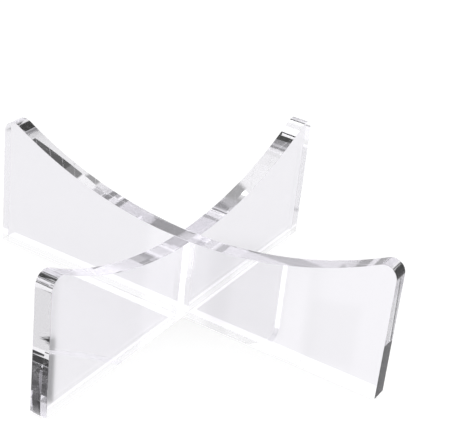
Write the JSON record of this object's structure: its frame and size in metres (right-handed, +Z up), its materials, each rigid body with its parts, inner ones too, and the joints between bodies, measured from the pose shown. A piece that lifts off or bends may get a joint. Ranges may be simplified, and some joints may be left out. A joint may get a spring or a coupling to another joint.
{
  "type": "football display stand",
  "caption": "Slot-together stand of crossed clear acrylic plates, each with a hollow upper edge that cradles a football.",
  "frame": {"origin": "on the table, under the middle of the crossing of the plates", "axes": "+Z up, +X along the upper plate, +Y along the lower plate"},
  "size_m": [0.15, 0.15, 0.047],
  "materials": {
    "clear_acrylic": "water-clear cast acrylic with polished edges"
  },
  "bodies": {
    "lower_plate": {"lower_plate": "clear_acrylic"},
    "upper_plate": {"upper_plate": "clear_acrylic"}
  },
  "joints": [
    {"name": "upper_plate_lift", "type": "slide", "parent": "lower_plate", "child": "upper_plate", "axis": [0, 0, 1], "range_m": [0, 0.06]}
  ]
}
